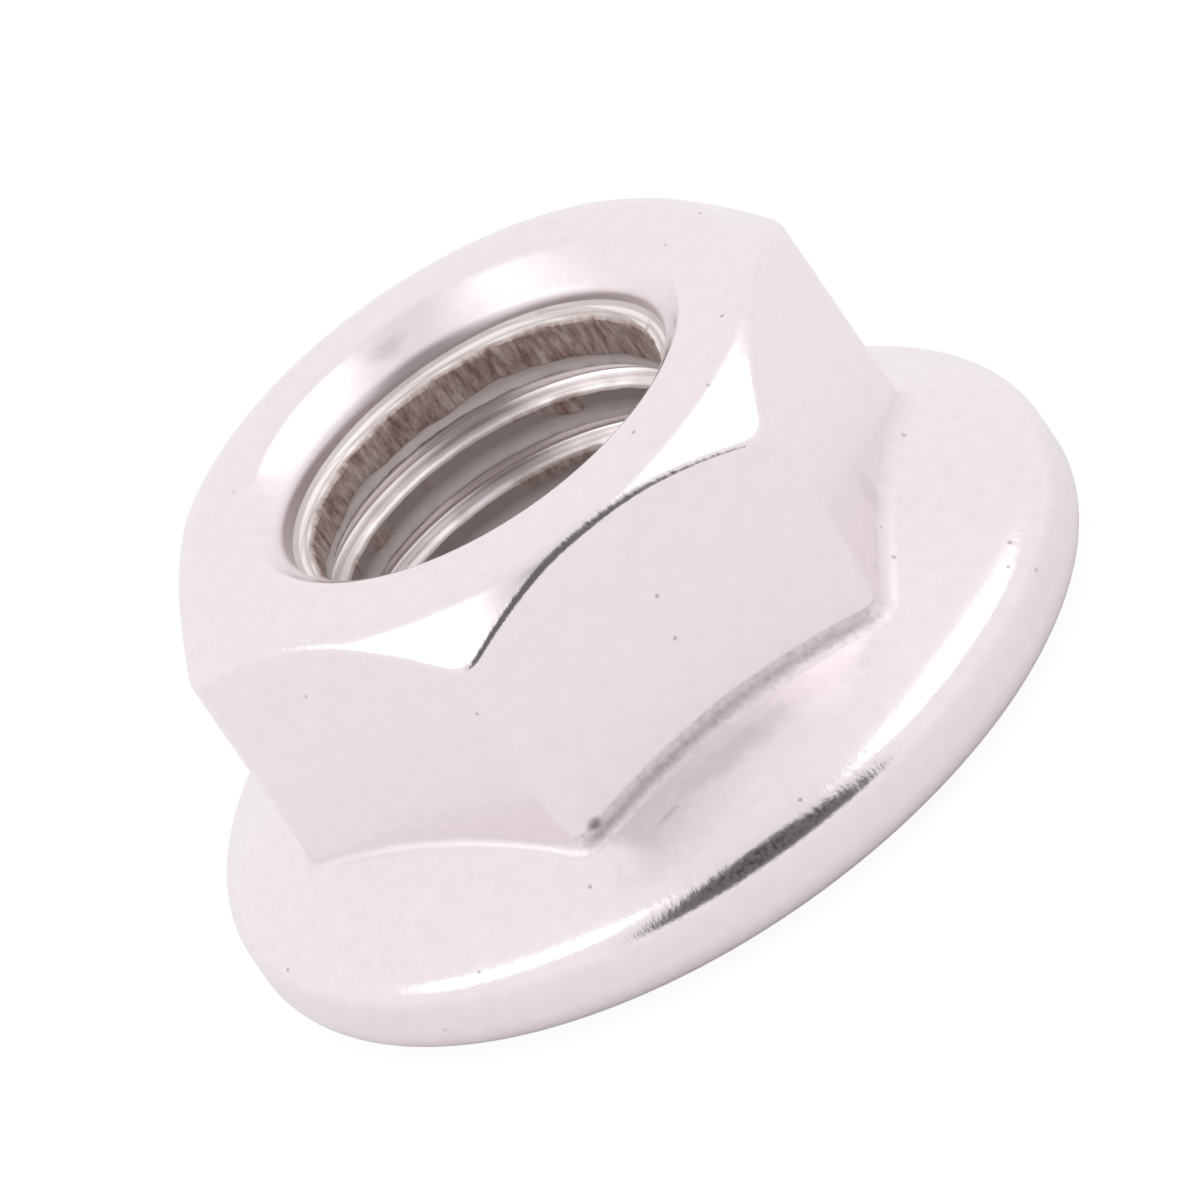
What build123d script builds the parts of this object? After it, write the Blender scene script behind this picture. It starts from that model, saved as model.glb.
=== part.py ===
"""M10 hexagon nut with an integral serrated flange, cold formed in one piece from stainless steel.

Frame: the origin is at the centre of the bearing side, on the plane of the serration crests.
+Z runs along the thread axis towards the crown, and two flats of the hexagon face +Y and -Y.
All lengths are in millimetres and all angles in degrees.

The helical thread is left out here. The bore is the cylinder of the thread's crests, with the
countersink at each end in which the thread starts.
"""
from build123d import *
import os
from math import degrees, hypot, radians, tan

# Hexagon
nut_height = 10.0
across_flats = 14.9
corner_radius = 0.85

# Flange
flange_diameter = 21.5
flange_rim_height = 2.0
flange_slope = 26.0
shoulder_radius = 0.9
rim_lower_radius = 0.8
root_radius = 0.6

# Crown, the chamfered end opposite the flange
land_diameter = 14.4
crown_slope = 43.0

# Bore
thread_crest_diameter = 8.65
mouth_diameter = 10.04
mouth_top_diameter = 11.76
mouth_edge_radius = 0.5
mouth_depth = 0.8
bearing_countersink_diameter = 10.8
countersink_angle = 120.0

# Serrations on the bearing side
tooth_count = 24
tooth_height = 0.3
tooth_crest_width = 0.3
serration_inner_diameter = 11.8
serration_outer_diameter = 19.2

# Distance by which a cutting or blank body passes the surface that it ends beyond
overrun = 1.0


def revolved(outline):
    """A solid turned about Z from a closed outline drawn as X = radius and Y = height."""
    return revolve(Plane.XZ * outline, Axis.Z)


def outline_of(points):
    """A closed outline through points of (radius, height)."""
    return make_face(Polyline(points, close=True))


def rounded(outline, corner, radius):
    """The outline with the corner nearest to the given point rounded off."""
    nearest = outline.vertices().sort_by_distance(Vertex(*corner))[0]
    return fillet(nearest, radius)


def flange_top(radius):
    """Height of the flange's conical upper side at a distance from the axis."""
    rim_edge = tooth_height + flange_rim_height
    return rim_edge + (flange_diameter / 2 - radius) * tan(radians(flange_slope))


def make_flange():
    """The round flange: a plain rim, a rounded shoulder and a cone that rises to the hexagon."""
    rim = flange_diameter / 2
    inner = across_flats / 4
    outline = outline_of([
        (0, tooth_height),
        (rim, tooth_height),
        (rim, flange_top(rim)),
        (inner, flange_top(inner)),
        (0, flange_top(inner)),
    ])
    outline = rounded(outline, (rim, tooth_height), rim_lower_radius)
    return revolved(rounded(outline, (rim, flange_top(rim)), shoulder_radius))


def make_crown_limit():
    """The turned envelope that trims the hexagon's corners to a flat land and a conical chamfer."""
    land = land_diameter / 2
    widest = across_flats
    chamfer_end = nut_height - (widest - land) * tan(radians(crown_slope))
    outline = outline_of([
        (0, chamfer_end - overrun),
        (widest, chamfer_end - overrun),
        (widest, chamfer_end),
        (land, nut_height),
        (0, nut_height),
    ])
    return revolved(outline)


def make_hexagon():
    """The wrench hexagon with rounded corners, its upper end trimmed by the crown."""
    section = RegularPolygon(across_flats / 2, 6, major_radius=False)
    section = fillet(section.vertices(), corner_radius)
    prism = Pos(0, 0, tooth_height) * extrude(section, nut_height)
    return prism & make_crown_limit()


def is_root_edge(edge):
    """Whether an edge is where a wall of the hexagon meets the flange's cone."""
    middle = edge @ 0.5
    reach = hypot(middle.X, middle.Y)
    inside_shoulder = reach < flange_diameter / 2 - shoulder_radius
    return inside_shoulder and abs(middle.Z - flange_top(reach)) < 0.01


def blend_root(body):
    """The body with the fillet that runs round the foot of the hexagon."""
    return fillet(body.edges().filter_by(is_root_edge), root_radius)


def make_bore():
    """The tool for the bore: crest cylinder, conical thread starts and the countersunk mouth."""
    crest = thread_crest_diameter / 2
    mouth = mouth_diameter / 2
    mouth_top = mouth_top_diameter / 2
    lower = bearing_countersink_diameter / 2
    rise = 1 / tan(radians(countersink_angle / 2))
    mouth_floor = nut_height - mouth_depth
    return revolved(outline_of([
        (0, -overrun),
        (lower, -overrun),
        (lower, tooth_height),
        (crest, tooth_height + (lower - crest) * rise),
        (crest, mouth_floor - (mouth - crest) * rise),
        (mouth, mouth_floor),
        (mouth, nut_height - (mouth_top - mouth) * rise),
        (mouth_top, nut_height),
        (mouth_top, nut_height + overrun),
        (0, nut_height + overrun),
    ]))


def round_mouth(body):
    """The body with its countersunk mouth rolled over into the land."""
    lip = body.edges().group_by(Axis.Z)[-1].sort_by(SortBy.RADIUS)[0]
    return fillet(lip, mouth_edge_radius)


def make_tooth_gap():
    """The wedge between two crests: a steep wall at its start, and a ramp down to the next crest.

    Both faces run through the axis at the crest plane, so that the gap deepens outwards as a rolled
    serration does. The steep wall faces the way the nut turns when it loosens.
    """
    outer = serration_outer_diameter / 2
    reach = outer + overrun
    depth = tooth_height * reach / outer
    crest_angle = degrees(tooth_crest_width / outer)
    ramp_end = Vector(reach, 0, 0).rotate(Axis.Z, 360 / tooth_count - crest_angle)
    apex = Vector(0, 0, 0)
    foot = Vector(reach, 0, 0)
    top = Vector(reach, 0, depth)
    sides = [(apex, ramp_end, foot), (apex, foot, top), (apex, top, ramp_end), (foot, ramp_end, top)]
    return Solid(Shell([Face(Wire.make_polygon(side)) for side in sides]))


def make_serrations():
    """The ring of radial sawtooth serrations that stands below the flange's plain underside."""
    ring = Cylinder(serration_outer_diameter / 2, tooth_height, align=(Align.CENTER, Align.CENTER, Align.MIN))
    ring -= Cylinder(serration_inner_diameter / 2, tooth_height, align=(Align.CENTER, Align.CENTER, Align.MIN))
    return ring - PolarLocations(0, tooth_count) * make_tooth_gap()


def make_nut():
    """The whole nut as one solid."""
    body = blend_root(make_flange() + make_hexagon())
    body = round_mouth(body - make_bore())
    return body + make_serrations()


os.makedirs("parts", exist_ok=True)
nut = make_nut()
export_step(nut, "parts/flange_nut.step")
print("flange_nut", "volume", round(nut.volume, 1), "box", nut.bounding_box().size)
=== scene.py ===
# %% [markdown]
# # A serrated flange nut in stainless steel
#
# A cold-formed nut is one lump of metal, but its skin tells how it was made. The hexagon and the
# flange are pressed in a die and tumbled bright, the crown is turned, the mouth is countersunk a
# little off centre, and the thread is cut last, with a tap that tears its crests. This lesson builds
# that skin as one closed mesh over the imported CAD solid, then gives each part of it the finish that
# it was left with. The camera, the paper under the nut and the cards over it come last.

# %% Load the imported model
from math import acos, asin, atan, atan2, cos, degrees, hypot, pi, radians, sin, tan

import bmesh
import bpy
from mathutils import Matrix, Vector


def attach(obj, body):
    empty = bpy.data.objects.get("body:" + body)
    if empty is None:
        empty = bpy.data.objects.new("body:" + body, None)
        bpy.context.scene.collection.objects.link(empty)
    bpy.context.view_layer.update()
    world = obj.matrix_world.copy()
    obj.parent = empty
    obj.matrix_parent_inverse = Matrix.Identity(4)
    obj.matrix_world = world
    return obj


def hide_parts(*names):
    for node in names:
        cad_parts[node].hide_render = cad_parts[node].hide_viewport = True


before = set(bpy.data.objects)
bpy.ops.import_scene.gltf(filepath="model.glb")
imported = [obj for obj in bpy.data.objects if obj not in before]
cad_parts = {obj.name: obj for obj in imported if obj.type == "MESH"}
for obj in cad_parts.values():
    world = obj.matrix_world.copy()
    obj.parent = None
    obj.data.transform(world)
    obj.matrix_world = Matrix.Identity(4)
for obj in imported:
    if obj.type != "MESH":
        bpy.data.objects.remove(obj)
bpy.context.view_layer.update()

MM = 0.001


# %% [markdown]
# ## The pressed skin
#
# On the real nut this is everything that the die and the lathe shaped: the flange's underside, rim,
# shoulder and cone, the hexagon with its soft corners, the turned crown and the mouth. It could be
# built from a cylinder with bevels, but a bevel can't run cleanly where a round chamfer meets six
# flats. Instead it is drawn as a section, the line that a cut through the axis would show, and that
# section is redrawn at each angle round the nut. Every fold is an arc with several points, so the
# edges catch the light as pressed edges do.
#
# Lengths are in millimetres, because that is how a nut is drawn. They turn to metres once, when the
# finished mesh is handed to the scene. The axis is Z, and the serrations' crests touch Z = 0.
#
# The hexagon comes first, because its distance from the axis is what changes most from one angle to
# the next. The angles crowd together at the corners, where the wall turns fastest.

# %% The hexagon at one angle
FLAT_DISTANCE = 7.45
CORNER_RADIUS = 0.85
SIDES = 6
HALF_SIDE = 180 / SIDES
FLAT_HALF_WIDTH = (FLAT_DISTANCE - CORNER_RADIUS) * tan(radians(HALF_SIDE))
CORNER_START = degrees(atan(FLAT_HALF_WIDTH / FLAT_DISTANCE))


def hexagon_radius(from_flat):
    """Distance from the axis to the hexagon, at an angle in degrees from the middle of a flat."""
    if abs(from_flat) <= CORNER_START:
        return FLAT_DISTANCE / cos(radians(from_flat))
    centre = (FLAT_DISTANCE - CORNER_RADIUS) / cos(radians(HALF_SIDE))
    aside = radians(HALF_SIDE - abs(from_flat))
    return centre * cos(aside) + (CORNER_RADIUS ** 2 - (centre * sin(aside)) ** 2) ** 0.5


print("across flats", 2 * FLAT_DISTANCE, "across corners", round(2 * hexagon_radius(HALF_SIDE), 2), "mm")

# %% The angles of the sections
STEPS_ON_FLAT, STEPS_ON_CORNER = 28, 12


def section_angles():
    """Angles round the nut as (angle, angle from the nearest flat), closer together at the corners."""
    on_flat = [CORNER_START * i / STEPS_ON_FLAT for i in range(STEPS_ON_FLAT)]
    corner_turn = HALF_SIDE - CORNER_START
    on_corner = [CORNER_START + corner_turn * i / STEPS_ON_CORNER for i in range(STEPS_ON_CORNER + 1)]
    half = on_flat + on_corner
    sector = [-angle for angle in half[:0:-1]] + half[:-1]
    return [(HALF_SIDE + 2 * HALF_SIDE * side + angle, angle) for side in range(SIDES) for angle in sector]


print("sections", len(section_angles()))

# %% Lines and arcs
def arc(centre, radius, start, end, steps):
    """Points of an arc about a centre, from one angle to another, as (radius, height)."""
    angles = [radians(start + (end - start) * i / steps) for i in range(steps + 1)]
    return [(centre[0] + radius * cos(a), centre[1] + radius * sin(a)) for a in angles]


def between(start, end, fractions):
    """Points between two others, at the given fractions of the way."""
    return [tuple(s + (e - s) * f for s, e in zip(start, end)) for f in fractions]


print("a quarter turn in two steps", [(round(x, 2), round(y, 2)) for x, y in arc((0, 0), 1, 0, 90, 2)])

# %% [markdown]
# ### The flange
#
# The rim is pressed between two dies, so both its edges are round. The cone doesn't meet the
# shoulder in a line: it rolls over slowly, as metal does where the die doesn't quite touch it. A
# wide arc and then a tight one draw that roll, and it is what makes the highlight along the shoulder
# fade inwards and end sharply outwards.

# %% The flange's section
FLANGE_RADIUS = 10.75
FLANGE_BASE = 0.3
FLANGE_INNER = 9.75
FLANGE_RIM = 2.3
FLANGE_SLOPE = 26.0
RIM_LOWER_RADIUS = 0.8
SHOULDER_RADIUS = 0.8
SHOULDER_ROLL_RADIUS = 3.5
SHOULDER_ROLL_TURN = 10.0


def flange_top(radius):
    """Height of the flange's cone at a distance from the axis."""
    return FLANGE_RIM + (FLANGE_RADIUS - radius) * tan(radians(FLANGE_SLOPE))


def flange_section():
    """The flange from its underside to the start of its cone, which rolls slowly into the shoulder."""
    low_centre = (FLANGE_RADIUS - RIM_LOWER_RADIUS, FLANGE_BASE + RIM_LOWER_RADIUS)
    lower = arc(low_centre, RIM_LOWER_RADIUS, -90, 0, 10)
    cone, roll = radians(FLANGE_SLOPE), radians(FLANGE_SLOPE + SHOULDER_ROLL_TURN)
    offset = SHOULDER_ROLL_RADIUS - SHOULDER_RADIUS
    roll_centre = FLANGE_RADIUS - SHOULDER_RADIUS - offset * sin(roll)
    roll_start = flange_top(roll_centre + SHOULDER_ROLL_RADIUS * sin(cone))
    roll_height = roll_start - SHOULDER_ROLL_RADIUS * cos(cone)
    centre = (FLANGE_RADIUS - SHOULDER_RADIUS, roll_height + offset * cos(roll))
    turn = 90 - FLANGE_SLOPE - SHOULDER_ROLL_TURN
    upper = arc(centre, SHOULDER_RADIUS, 0, turn, 12)
    rolled = arc((roll_centre, roll_height), SHOULDER_ROLL_RADIUS, turn, turn + SHOULDER_ROLL_TURN, 5)
    middle = between(lower[-1], upper[0], (0.5,))
    return [(FLANGE_INNER, FLANGE_BASE)] + lower + middle + upper + rolled[1:]


print("flange", 2 * FLANGE_RADIUS, "mm across,", len(flange_section()), "points in its section")

# %% [markdown]
# ### The crown and the hexagon's wall
#
# The crown is turned: a flat land, and a cone that cuts the six corners to their curved peaks.
# Tumbling has worn both its edges round. In the middle of a flat the wall stands too far in to reach
# the cone, so there the edge runs straight into the roll that leads to the land.

# %% The crown's edges
NUT_HEIGHT = 10.0
LAND_RADIUS = 7.2
CROWN_SLOPE = 43.0
CROWN_EDGE_RADIUS = 0.33
CROWN_BLEND_RADIUS = 1.0


def crown_top(radius):
    """Height of the crown's conical chamfer at a distance from the axis."""
    return NUT_HEIGHT - (radius - LAND_RADIUS) * tan(radians(CROWN_SLOPE))


def crown_blend_centre():
    """Centre of the arc that rolls the crown's land over into its chamfer."""
    inset = CROWN_BLEND_RADIUS * tan(radians(CROWN_SLOPE / 2))
    return LAND_RADIUS - inset, NUT_HEIGHT - CROWN_BLEND_RADIUS


def crown_edge(side):
    """Centre and turn of the arc from the hexagon's wall into the chamfer, or else into the blend."""
    across = side - CROWN_EDGE_RADIUS
    blend = crown_blend_centre()
    offset = CROWN_BLEND_RADIUS - CROWN_EDGE_RADIUS
    turn = degrees(acos(min(1, (across - blend[0]) / offset)))
    if turn > 90 - CROWN_SLOPE:
        return (across, blend[1] + offset * sin(radians(turn))), turn
    drop = CROWN_EDGE_RADIUS / cos(radians(CROWN_SLOPE))
    return (across, crown_top(across) - drop), 90 - CROWN_SLOPE


for place, side in (("flat", FLAT_DISTANCE), ("corner", hexagon_radius(HALF_SIDE))):
    print("crown edge at a", place, "turns", round(crown_edge(side)[1], 1), "degrees")

# %% [markdown]
# The fillet at the hexagon's foot is wide on most sides. Along one side the die has worn less, and
# left it sharp, which the light shows as a thin bright line. The wall's points crowd at both its ends,
# so that the shading of a fold stays on the fold and doesn't bleed over the flat.

# %% The hexagon's section
ROOT_RADIUS = 0.5
SHARP_ROOT_RADIUS = 0.22
SHARP_ROOT_FROM, SHARP_ROOT_TO = 176.0, 240.0
SHARP_ROOT_FADE = 6.0
FOLD_STEPS = 8
WALL_POINTS = (0.015, 0.06, 0.2, 0.4, 0.6, 0.8, 0.94)


def foot_radius(angle):
    """Radius of the fillet at the hexagon's foot, which the die left sharper along one side."""
    into = min(angle - SHARP_ROOT_FROM, SHARP_ROOT_TO - angle) / SHARP_ROOT_FADE
    return ROOT_RADIUS + (SHARP_ROOT_RADIUS - ROOT_RADIUS) * min(1, max(0, into))


def hexagon_section(side, angle):
    """The fillet at the hexagon's foot, the wall and the soft edge to the crown."""
    radius = foot_radius(angle)
    rise = radius / cos(radians(FLANGE_SLOPE))
    foot_centre = (side + radius, flange_top(side + radius) + rise)
    foot = arc(foot_centre, radius, 270 - FLANGE_SLOPE, 180, FOLD_STEPS)
    edge_centre, turn = crown_edge(side)
    edge = arc(edge_centre, CROWN_EDGE_RADIUS, 0, turn, FOLD_STEPS)
    return foot + between(foot[-1], edge[0], WALL_POINTS) + edge


print("foot fillet", foot_radius(0), "mm, on the sharp side", round(foot_radius(208), 2), "mm")

# %% [markdown]
# ### The mouth
#
# The countersink leads the bolt in. Its cutter came in slightly off the axis, so its edge on the land
# is wider on one side, and its slope ends in a short wall that is taller on the other. The section
# takes that from the angle. Where the slope reaches down so far that the wall would be left no
# height, the lower arc stops early.

# %% The mouth's section
MOUTH_TOP_RADIUS = 5.68
MOUTH_OFF_CENTRE = 0.3
MOUTH_OFF_TOWARDS = 60.0
MOUTH_SLOPE = 37.0
MOUTH_TOP_EDGE = 0.5
MOUTH_LOWER_EDGE = 0.4
MOUTH_RADIUS = 4.93
MOUTH_FLOOR = 8.98
LEAST_WALL = 0.02
MOUTH_JOIN = MOUTH_FLOOR + 0.005


def mouth_section(angle):
    """The countersunk mouth at an angle, from its rounded upper edge to the thread."""
    top_radius = MOUTH_TOP_RADIUS + MOUTH_OFF_CENTRE * cos(radians(angle - MOUTH_OFF_TOWARDS))
    slope = radians(MOUTH_SLOPE)
    top_centre = (top_radius + MOUTH_TOP_EDGE * tan(slope / 2), NUT_HEIGHT - MOUTH_TOP_EDGE)
    top = arc(top_centre, MOUTH_TOP_EDGE, 90, 90 + MOUTH_SLOPE, 5)
    corner = NUT_HEIGHT - (top_radius - MOUTH_RADIUS) * tan(slope)
    low_height = corner - MOUTH_LOWER_EDGE * tan((pi / 2 - slope) / 2)
    short = degrees(asin(max(0, MOUTH_FLOOR + LEAST_WALL - low_height) / MOUTH_LOWER_EDGE))
    low_centre = (MOUTH_RADIUS + MOUTH_LOWER_EDGE, low_height)
    lower = arc(low_centre, MOUTH_LOWER_EDGE, 90 + MOUTH_SLOPE, 180 - short, 7)
    straight = between(top[-1], lower[0], (0.1, 0.35, 0.65, 0.9))
    return top + straight + lower + [(MOUTH_RADIUS, MOUTH_JOIN)]


def crown_section(side, angle):
    """The roll from chamfer to land, the land and the mouth, down to the thread."""
    blend = arc(crown_blend_centre(), CROWN_BLEND_RADIUS, crown_edge(side)[1], 90, 10)
    mouth = mouth_section(angle)
    return blend + between(blend[-1], mouth[0], (0.08, 0.3, 0.6, 0.92)) + mouth


print("mouth's edge", [round(mouth_section(angle)[0][0], 2) for angle in (60, 240)], "mm from the axis")

# %% [markdown]
# ### The whole section, and what it remembers
#
# The parts are joined with a few points on the cone and the chamfer. Every section has the same
# number of points in the same order, so a point's number says where it lies. Four marks are stored
# with each point, and rise from 0 to 1 in the foot's fillet, on the shoulder, on the crown's edge and
# in the mouth. The finish reads them later, because grime and painted shade sit in a fillet and not
# beside it. It could be told where the folds are by height and radius instead, but the marks follow
# the folds by themselves when a size changes. Each mark is a run of values, given with the number of
# the point that it starts at.

# %% The whole section at one angle
CONE_POINTS = (0.04, 0.12, 0.25, 0.4, 0.55, 0.7, 0.85, 0.96)


def section(angle, from_flat):
    """The whole section at an angle round the nut, given also its angle from the nearest flat."""
    side = hexagon_radius(from_flat)
    flange, hexagon, crown = flange_section(), hexagon_section(side, angle), crown_section(side, angle)
    cone = between(flange[-1], hexagon[0], CONE_POINTS)
    chamfer = between(hexagon[-1], crown[0], (0.1, 0.5, 0.9))
    return flange + cone + hexagon + chamfer + crown


POINTS_IN_SECTION = len(section(0, 0))
print("points in a section", POINTS_IN_SECTION)

# %% Marks along the section
RIM_MIDDLE = 12
FOOT_START = len(flange_section()) + len(CONE_POINTS)
EDGE_START = FOOT_START + FOLD_STEPS + 1 + len(WALL_POINTS)
MOUTH_START = POINTS_IN_SECTION - 12
MARK_RUNS = {
    "foot": (FOOT_START, [0.6, 0.8, 0.9] + [1.0] * 6),
    "shoulder": (RIM_MIDDLE, [0.5] + [1.0] * 14 + [0.8, 0.5, 0.2]),
    "edge": (EDGE_START - 1, [0.3] + [1.0] * 9 + [0.3]),
    "mouth": (MOUTH_START, [0.2, 0.5, 0.8] + [1.0] * 9),
}


def section_marks():
    """For each point of a section, how far it lies in the foot, the shoulder, the edge and the mouth."""
    marks = {}
    for name, (start, run) in MARK_RUNS.items():
        marks[name] = [0.0] * start + run + [0.0] * (POINTS_IN_SECTION - start - len(run))
    return marks


print("marks", {name: start for name, (start, run) in MARK_RUNS.items()})

# %% Sweep the sections into a skin
def new_mesh(name, corners, faces):
    """A mesh object from corners and faces."""
    mesh = bpy.data.meshes.new(name)
    mesh.from_pydata(corners, [], faces)
    item = bpy.data.objects.new(name, mesh)
    bpy.context.collection.objects.link(item)
    return item


def swept(angle, from_flat):
    """The corners of one section, turned to its angle."""
    east, north = cos(radians(angle)), sin(radians(angle))
    return [(radius * east, radius * north, height) for radius, height in section(angle, from_flat)]


def make_pressed_skin():
    """The swept skin, open at the serrations and at the thread."""
    columns = [swept(*angles) for angles in section_angles()]
    corners = [corner for column in columns for corner in column]
    faces = []
    for c in range(len(columns)):
        here, there = c * POINTS_IN_SECTION, (c + 1) % len(columns) * POINTS_IN_SECTION
        for i in range(POINTS_IN_SECTION - 1):
            faces.append((here + i, there + i, there + i + 1, here + i + 1))
    skin = new_mesh("pressed_skin", corners, faces)
    for name, values in section_marks().items():
        marks = skin.data.attributes.new(name, "FLOAT", "POINT")
        marks.data.foreach_set("value", values * len(columns))
    return skin


pressed_skin = make_pressed_skin()
print("pressed skin faces", len(pressed_skin.data.polygons))

# %% [markdown]
# ## Helpers for node trees
#
# The thread and the serrations follow rules, so Geometry Nodes make them, and every finish is a
# shader tree. One function adds a node to either kind. It takes what feeds the sockets in their
# order or by name: a number, a colour, another node, or one chosen output of another node. A node
# given whole stands for its first output.
#
# Two nodes need a word. A Map Range node, called a ramp here, takes a value, the two ends that it is
# read between, and the two values that it gives at those ends. The Mix node keeps sockets for numbers,
# vectors and colours side by side under the same names, so its colours go by their places.

# %% Add a node
COLOUR_A, COLOUR_B, MIXED_COLOUR = 6, 7, 2
MATHS = "ShaderNodeMath"
VECTOR_MATHS = "ShaderNodeVectorMath"
RAMP = "ShaderNodeMapRange"
NOISE = "ShaderNodeTexNoise"
MIX = "ShaderNodeMix"
BUMP = "ShaderNodeBump"


def node(tree, kind, inputs=(), **settings):
    """Adds one node with its settings, and feeds its sockets from values, nodes or their outputs."""
    new = tree.nodes.new(kind)
    for name, value in settings.items():
        setattr(new, name, value)
    for socket, value in inputs.items() if isinstance(inputs, dict) else enumerate(inputs):
        source = value.outputs[0] if isinstance(value, bpy.types.Node) else value
        if isinstance(source, bpy.types.NodeSocket):
            tree.links.new(source, new.inputs[socket])
        else:
            new.inputs[socket].default_value = source
    return new


print("one helper for every kind of node")

# %% Colours
def linear(hex_colour):
    """An sRGB hex colour as the linear values that Blender's sockets take."""
    parts = [int(hex_colour[i:i + 2], 16) / 255 for i in (1, 3, 5)]
    return tuple(p / 12.92 if p <= 0.04045 else ((p + 0.055) / 1.055) ** 2.4 for p in parts) + (1.0,)


print("#808080 is", round(linear("#808080")[0], 3), "in linear light")

# %% Geometry trees
MERGE_DISTANCE = 0.002


def new_geometry_tree(name, sizes):
    """A Geometry Nodes tree with one mesh output and a named number input for each size."""
    tree = bpy.data.node_groups.new(name, "GeometryNodeTree")
    tree.interface.new_socket("Geometry", in_out="OUTPUT", socket_type="NodeSocketGeometry")
    for label, value in sizes.items():
        kind = "NodeSocketInt" if isinstance(value, int) else "NodeSocketFloat"
        tree.interface.new_socket(label, in_out="INPUT", socket_type=kind)
    return tree, node(tree, "NodeGroupInput").outputs


def mesh_from_tree(name, tree, sizes):
    """Runs a tree with its sizes and keeps the result as a plain mesh object."""
    item = new_mesh(name, [], [])
    modifier = item.modifiers.new(name, "NODES")
    modifier.node_group = tree
    for entry in tree.interface.items_tree:
        if entry.in_out == "INPUT":
            modifier[entry.identifier] = sizes[entry.name]
    evaluated = item.evaluated_get(bpy.context.evaluated_depsgraph_get())
    plain = bpy.data.meshes.new_from_object(evaluated)
    item.modifiers.remove(modifier)
    item.data = plain
    print(name, "faces", len(plain.polygons))
    return item


print("points nearer than", MERGE_DISTANCE, "mm merge")

# %% Materials, named for what the steel is and how its surface was made
def new_material_tree(material):
    """The empty shader tree of a material."""
    material.use_nodes = True
    material.node_tree.nodes.clear()
    return material.node_tree


die_steel = bpy.data.materials.new("stainless steel, cold formed and tumbled bright")
bore_steel = bpy.data.materials.new("stainless steel, tapped")
print("materials", die_steel.name, "and", bore_steel.name)

# %% [markdown]
# ## The tapped thread
#
# An M10 thread climbs 1.5 mm a turn, right-handed. It could be a swept triangle cut from the bore
# with a Boolean, but that leaves ragged ends where the thread fades into the cones at both mouths.
# Here the bore is a sheet whose rows climb with the helix. Each row sits at one place of the
# profile: half the pitch is crest, then come the flank out, the narrow root and the flank back in.
# The sheet starts below the nut and ends above it, and its rows are held between the two mouths, where
# they fall on one another and merge.
#
# Where the crest ends and the root starts and ends are shares of the pitch. The run-out is in turns,
# and the other sizes are in millimetres.

# %% Thread sizes
THREAD = {
    "Pitch": 1.5,
    "Crest radius": 4.5,
    "Root radius": 4.87,
    "Crest end": 0.5,
    "Root start": 0.68,
    "Root end": 0.71,
    "Crest fade start": 0.02,
    "Crest fade end": 0.12,
    "Start height": -1.72,
    "Bottom": FLANGE_BASE,
    "Top": MOUTH_FLOOR,
    "Bottom radius": 5.4,
    "Top radius": MOUTH_RADIUS,
    "Cone spread": tan(radians(60)),
    "Tear depth": 0.03,
    "Tear width": 0.5,
    "Tear height": 0.4,
    "Run-out start": 5.7,
    "Run-out end": 6.0,
    "Turns": 8,
    "Columns": 360,
    "Rows per turn": 20,
}
print("thread", 2 * THREAD["Root radius"], "mm at its roots,", THREAD["Pitch"], "mm pitch")

# %% Rows that climb with the helix
thread_tree, size = new_geometry_tree("tapped thread", THREAD)
rows = node(thread_tree, MATHS, (size["Turns"], size["Rows per turn"]), operation="MULTIPLY")
sheet = node(thread_tree, "GeometryNodeMeshGrid", {
    "Size X": 1.0, "Size Y": 1.0,
    "Vertices X": node(thread_tree, MATHS, (size["Columns"], 1.0), operation="ADD"),
    "Vertices Y": node(thread_tree, MATHS, (rows, 1.0), operation="ADD")})
position = node(thread_tree, "GeometryNodeInputPosition")
on_sheet = node(thread_tree, "ShaderNodeSeparateXYZ", (position,)).outputs
turn = node(thread_tree, MATHS, (on_sheet["X"], 0.5), operation="ADD")
up_sheet = node(thread_tree, MATHS, (on_sheet["Y"], 0.5), operation="ADD")
climb = node(thread_tree, MATHS, (up_sheet, size["Turns"]), operation="MULTIPLY")
turns_up = node(thread_tree, MATHS, (climb, turn), operation="ADD")
free_height = node(
    thread_tree, MATHS, (turns_up, size["Pitch"], size["Start height"]), operation="MULTIPLY_ADD")
over_bottom = node(thread_tree, MATHS, (free_height, size["Bottom"]), operation="MAXIMUM")
height = node(thread_tree, MATHS, (over_bottom, size["Top"]), operation="MINIMUM")
print("rows", THREAD["Turns"] * THREAD["Rows per turn"], "columns", THREAD["Columns"])

# %% [markdown]
# The place in the profile is the fraction of a turn by which a row has climbed. A flank is a ramp
# from 0 to 1, and the second ramp taken from the first leaves the groove. Near the mouth the tap lifts
# out of the metal, so the groove's depth fades over the last third of a turn.

# %% The groove and its run-out
phase = node(thread_tree, MATHS, (climb,), operation="FRACT")
outward = node(thread_tree, RAMP, (phase, size["Crest end"], size["Root start"], 0.0, 1.0))
inward = node(thread_tree, RAMP, (phase, size["Root end"], 1.0, 0.0, 1.0))
in_groove = node(thread_tree, MATHS, (outward, inward), operation="SUBTRACT")
whole_turns = node(thread_tree, MATHS, (climb,), operation="FLOOR")
along = node(thread_tree, MATHS, (whole_turns, turn), operation="ADD")
cut = node(thread_tree, RAMP, (along, size["Run-out start"], size["Run-out end"], 1.0, 0.0))
full_depth = node(thread_tree, MATHS, (size["Root radius"], size["Crest radius"]), operation="SUBTRACT")
depth = node(thread_tree, MATHS, (cut, full_depth), operation="MULTIPLY")
groove = node(thread_tree, MATHS, (in_groove, depth, size["Crest radius"]), operation="MULTIPLY_ADD")
print("groove fades out from turn", THREAD["Run-out start"], "to", THREAD["Run-out end"])

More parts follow.
